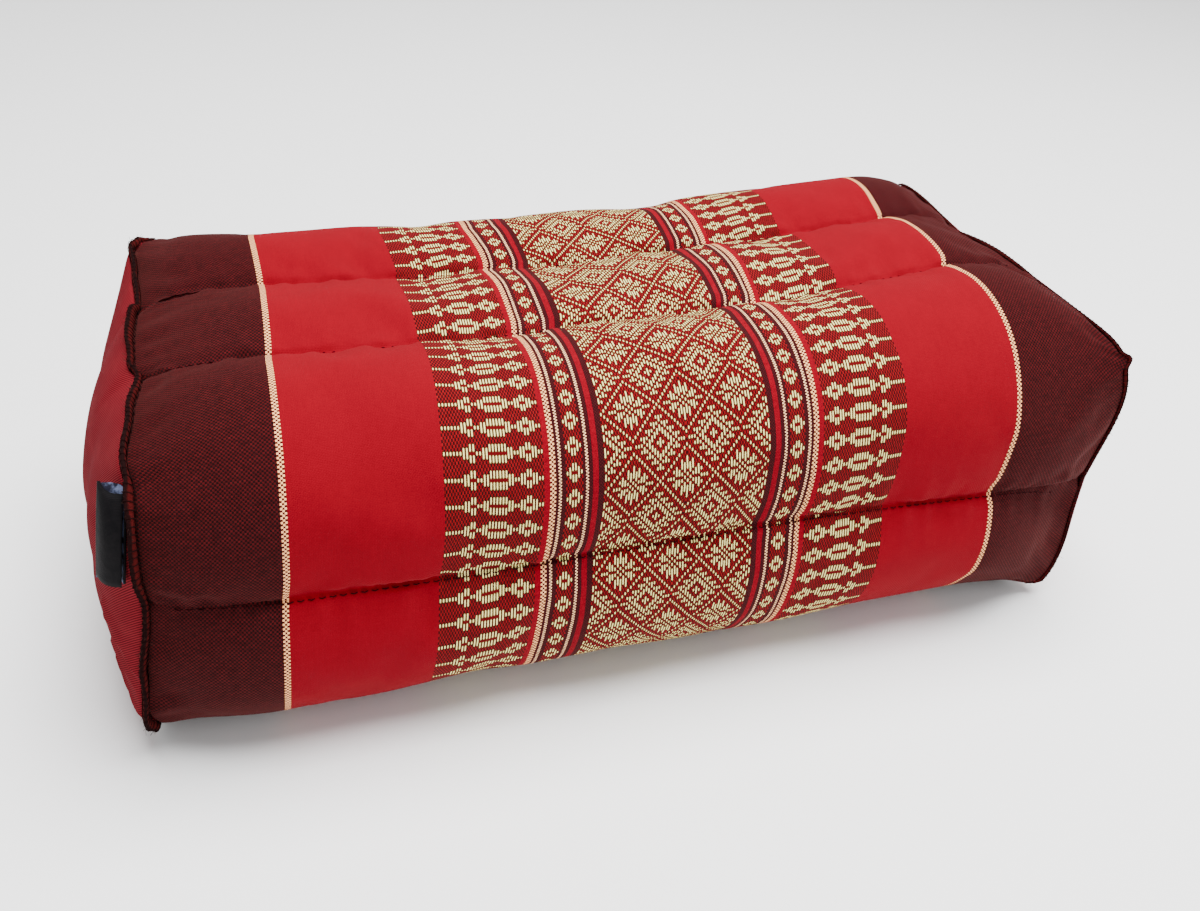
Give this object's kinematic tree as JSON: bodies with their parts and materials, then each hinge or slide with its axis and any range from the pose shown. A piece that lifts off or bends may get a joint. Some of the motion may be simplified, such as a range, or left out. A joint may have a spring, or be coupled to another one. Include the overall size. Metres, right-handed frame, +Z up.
{
  "type": "meditation cushion",
  "caption": "Firm block cushion with a sleeve sewn into parallel tubes, bulging end panels, raised edge seams and a loop label.",
  "frame": {"origin": "on the surface that the cushion rests on, under the middle of its bounding box", "axes": "+X along the cushion's length, towards the end without the label; +Y towards the back; +Z up"},
  "size_m": [0.3536, 0.1806, 0.1242],
  "materials": {
    "sleeve_cloth": "matt woven cotton, red with cream floats",
    "panel_twill": "matt crimson twill",
    "edge_seam_thread": "dark overlocked thread",
    "label_ribbon": "black satin ribbon"
  },
  "bodies": {
    "root": {"cushion_body": "sleeve_cloth", "end_panel_left": "panel_twill", "end_panel_right": "panel_twill", "edge_seam_left": "edge_seam_thread", "edge_seam_right": "edge_seam_thread", "side_label": "label_ribbon"}
  },
  "joints": []
}
